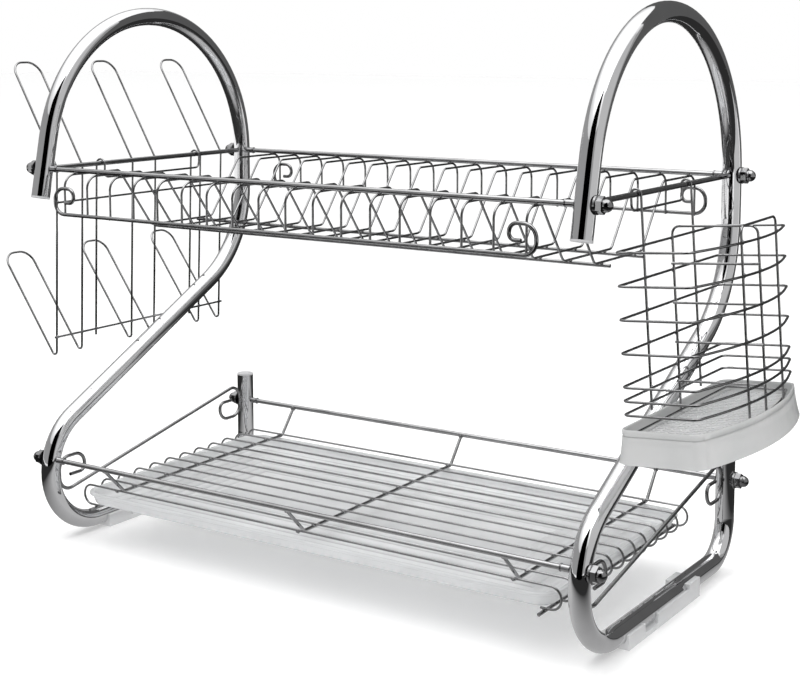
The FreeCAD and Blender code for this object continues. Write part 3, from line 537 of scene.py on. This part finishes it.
def drip_cup():
    """The cup under the cutlery: a rounded rim over a groove, a flared skirt and a ribbed floor."""
    top = CUP_TOP
    low = CUP_LOW
    outside = [
        (1.6, top), (2.3, top - 0.15), (2.55, top - 0.7), (2.7, top - 3.4), (2.15, top - 3.65),
        (2.15, top - 4.3), (2.8, top - 4.6), (3.2, top - 9.0), (3.9, top - 14.0), (4.6, low + 3.0),
        (5.05, low + 0.9), (5.1, low + 0.3), (4.8, low), (4.1, low + 0.1), (3.6, low + 0.7),
        (3.0, low + 4.0), (2.0, CUP_FLOOR - 2.6), (1.4, CUP_FLOOR - 1.7), (0.4, CUP_FLOOR - 1.4),
    ]
    inside = [
        (1.2, top - 0.25), (1.15, top - 1.0), (1.1, CUP_FLOOR + 1.4),
        (0.5, CUP_FLOOR + 0.3), (-0.6, CUP_FLOOR),
    ]
    mesh = bmesh.new()
    profile = outside[::-1] + inside
    loops = [basket_outline(grow * MM, w * MM) for grow, w in profile]
    skin(mesh, loops, cap_first=True, cap_last=True)
    cup = finish_piece("cutlery_drip_cup_moulding", mesh, "cutlery_cup", CUP)
    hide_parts("cutlery_drip_cup")


def rib(mesh, start, end, up, width, height):
    """A low ridge with a rounded top between two points."""
    along = (end - start).normalized()
    side = along.cross(up).normalized()
    section = [(-0.5, -0.3), (-0.42, 0.55), (-0.15, 1.0), (0.15, 1.0), (0.42, 0.55), (0.5, -0.3)]
    loops = []
    for point in (start, start + along * width * 0.4, end - along * width * 0.4, end):
        reach = 0.45 if point in (start, end) else 1.0
        loops.append([point + side * a * width + up * b * height * reach for a, b in section])
    skin(mesh, loops, cap_first=True, cap_last=True)


def cup_floor_ribs():
    """Crossed drainage ribs on the floor of the cup."""
    mesh = bmesh.new()
    w = CUP_FLOOR * MM
    up = (hanging_point(0, 0, 1) - hanging_point(0, 0, 0)).normalized()
    margin = CUP_RIB_MARGIN
    middle = basket_middle()
    for y in evenly(middle - RING_HALF + margin, middle + RING_HALF - margin, CUP_CROSS_RIBS):
        near_corner = RING_HALF - abs(y - middle) < 9 * MM
        inner = RING_INNER + margin * (1.3 if near_corner else 0.6)
        outer = bow_depth(y) - margin * (2.2 if near_corner else 0.6)
        rib(mesh, hanging_point(inner, y, w), hanging_point(outer, y, w), up, CUP_RIB_WIDE, 0.8 * MM)
    for index in range(1, CUP_LONG_RIBS + 1):
        u = RING_INNER + RING_DEPTH * index / (CUP_LONG_RIBS + 1)
        start = hanging_point(u, middle - RING_HALF + margin, w)
        end = hanging_point(u, middle + RING_HALF - margin, w)
        rib(mesh, start, end, up, CUP_RIB_WIDE, 0.65 * MM)
    finish_piece("cutlery_drip_cup_ribs", mesh, "cutlery_cup", FOOT)


def softened(node, name, body, material, width):
    """A copy of a CAD node with rounded edges, which is shown in its place."""
    mesh = bmesh.new()
    mesh.from_mesh(nodes[node].data)
    bmesh.ops.remove_doubles(mesh, verts=mesh.verts, dist=0.01 * MM)
    bmesh.ops.dissolve_limit(mesh, angle_limit=math.radians(3), verts=mesh.verts, edges=mesh.edges)
    sharp = [e for e in mesh.edges if e.is_manifold and e.calc_face_angle() > math.radians(40)]
    bmesh.ops.bevel(mesh, geom=sharp, offset=width, segments=3, profile=0.6, affect="EDGES",
                    clamp_overlap=True)
    piece = finish_piece(name, mesh, body, material)
    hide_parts(node)


plate_basket_welds()
shelf_welds()
brace_welds()
cutlery_welds()
mug_welds()
rod_collars()
nut_rims()
drip_tray()
drip_cup()
cup_floor_ribs()
for foot in ("left_foot_strip", "right_foot_strip"):
    softened(foot, foot + "_moulding", "rack", FOOT, FOOT_EDGE)


# ------------------------------------------------------------------ studio and camera

def glow(name, colour, strength):
    """A surface that only gives off light, for cards seen in the chrome."""
    material = bpy.data.materials.new(name)
    material.use_nodes = True
    tree = material.node_tree
    tree.nodes.remove(tree.nodes["Principled BSDF"])
    light = tree.nodes.new("ShaderNodeEmission")
    light.inputs["Color"].default_value = (*colour, 1)
    light.inputs["Strength"].default_value = strength
    tree.links.new(light.outputs["Emission"], tree.nodes["Material Output"].inputs["Surface"])
    return material


def upright(start, end, low, high):
    """The corners of an upright card that stands between two floor points."""
    return [(*start, low), (*end, low), (*end, high), (*start, high)]


def level(half, height):
    """The corners of a level square card."""
    return [(-half, -half, height), (half, -half, height), (half, half, height), (-half, half, height)]


def fading_glow(name, near, far, start, end):
    """A light that fades from the middle of a level card towards its rim."""
    material = glow(name, (1, 1, 1), near)
    tree = material.node_tree
    place = tree.nodes.new("ShaderNodeTexCoord").outputs["Object"]
    distance = tree.nodes.new("ShaderNodeVectorMath")
    distance.operation = "LENGTH"
    tree.links.new(place, distance.inputs[0])
    fade = remap(tree, distance.outputs["Value"], near, far, start, end)
    light = next(node for node in tree.nodes if node.type == "EMISSION")
    tree.links.new(fade, light.inputs["Strength"])
    return material


def card(name, corners, material):
    """A studio card. Only reflections see it."""
    data = bpy.data.meshes.new(name)
    data.from_pydata(corners, [], [(0, 1, 2, 3)])
    data.materials.append(material)
    piece = bpy.data.objects.new(name, data)
    bpy.context.scene.collection.objects.link(piece)
    piece.visible_camera = False
    piece.visible_diffuse = False
    piece.visible_transmission = False
    piece.visible_shadow = False


def floor():
    """A pale, faintly glossy floor under the feet."""
    material, tree, shader, place = new_material("studio_floor")
    shader.inputs["Base Color"].default_value = (0.95, 0.95, 0.95, 1)
    shader.inputs["Roughness"].default_value = 0.25
    shader.inputs["Specular IOR Level"].default_value = 0.12
    shader.inputs["Emission Color"].default_value = (1, 1, 1, 1)
    shader.inputs["Emission Strength"].default_value = 0.2
    data = bpy.data.meshes.new("studio_floor")
    data.from_pydata(level(FLOOR_HALF, 0.0), [], [(0, 1, 2, 3)])
    data.materials.append(material)
    piece = bpy.data.objects.new("studio_floor", data)
    bpy.context.scene.collection.objects.link(piece)
    piece.location.z = CAD_BOX[0].z


def softbox(name, place, aim, width, height, watts):
    data = bpy.data.lights.new(name, "AREA")
    data.shape = "RECTANGLE"
    data.size = width
    data.size_y = height
    data.energy = watts
    lamp = bpy.data.objects.new(name, data)
    bpy.context.scene.collection.objects.link(lamp)
    lamp.location = place
    lamp.rotation_euler = (Vector(aim) - Vector(place)).to_track_quat("-Z", "Y").to_euler()
    return lamp


def studio():
    """Soft surroundings, pale overhead and grey lower down, with cards for the chrome to mirror."""
    world = bpy.data.worlds.new("studio")
    bpy.context.scene.world = world
    world.use_nodes = True
    tree = world.node_tree
    tree.nodes.clear()
    place = tree.nodes.new("ShaderNodeTexCoord")
    split = tree.nodes.new("ShaderNodeSeparateXYZ")
    tree.links.new(place.outputs["Generated"], split.inputs["Vector"])
    height = tree.nodes.new("ShaderNodeMapRange")
    height.interpolation_type = "SMOOTHSTEP"
    height.inputs["From Min"].default_value = 0.52
    height.inputs["From Max"].default_value = 0.92
    tree.links.new(split.outputs["Z"], height.inputs["Value"])
    shade = tree.nodes.new("ShaderNodeMix")
    shade.data_type = "RGBA"
    shade.inputs["A"].default_value = (0.36, 0.36, 0.36, 1)
    shade.inputs["B"].default_value = (1.25, 1.25, 1.25, 1)
    tree.links.new(height.outputs["Result"], shade.inputs["Factor"])
    soft = tree.nodes.new("ShaderNodeBackground")
    tree.links.new(shade.outputs["Result"], soft.inputs["Color"])
    white = tree.nodes.new("ShaderNodeBackground")
    white.inputs["Color"].default_value = (1, 1, 1, 1)
    white.inputs["Strength"].default_value = 1.0
    seen = tree.nodes.new("ShaderNodeLightPath")
    choice = tree.nodes.new("ShaderNodeMixShader")
    tree.links.new(seen.outputs["Is Camera Ray"], choice.inputs["Fac"])
    tree.links.new(soft.outputs["Background"], choice.inputs[1])
    tree.links.new(white.outputs["Background"], choice.inputs[2])
    out = tree.nodes.new("ShaderNodeOutputWorld")
    tree.links.new(choice.outputs["Shader"], out.inputs["Surface"])
    white = (1, 1, 1)
    card("dark_front_card", upright((-0.10, -1.60), (0.70, -0.60), 0.0, 1.5), glow("black_card", white, 0.0))
    card("pale_side_card", upright((1.0, -0.55), (1.1, 0.75), 0.0, 1.3), glow("pale_card", white, 0.6))
    card("grey_back_card", upright((1.1, 1.0), (-0.9, 1.9), 0.0, 1.7), glow("grey_card", white, 0.11))
    card("ground_card", level(1.6, CARD_GAP), fading_glow("ground_card", 0.55, 0.03, 0.2, 0.38))
    softbox("overhead_softbox", (0.1, -0.2, 2.2), (0, 0, 0.2), 2.4, 2.4, 22)
    fill = bpy.data.objects.new("soft_fill", bpy.data.lights.new("soft_fill", "SUN"))
    fill.data.angle = math.radians(120)
    fill.data.energy = 1.1
    bpy.context.scene.collection.objects.link(fill)


def camera():
    data = bpy.data.cameras.new("camera")
    data.sensor_width = 36.0
    data.lens = CAMERA_LENS
    data.shift_x, data.shift_y = CAMERA_SHIFT
    data.clip_start = 0.01
    eye = bpy.data.objects.new("camera", data)
    bpy.context.scene.collection.objects.link(eye)
    eye.location = CAMERA_PLACE
    eye.rotation_euler = CAMERA_TURN
    bpy.context.scene.camera = eye


floor()
studio()
camera()
bpy.context.scene.view_settings.view_transform = "Standard"
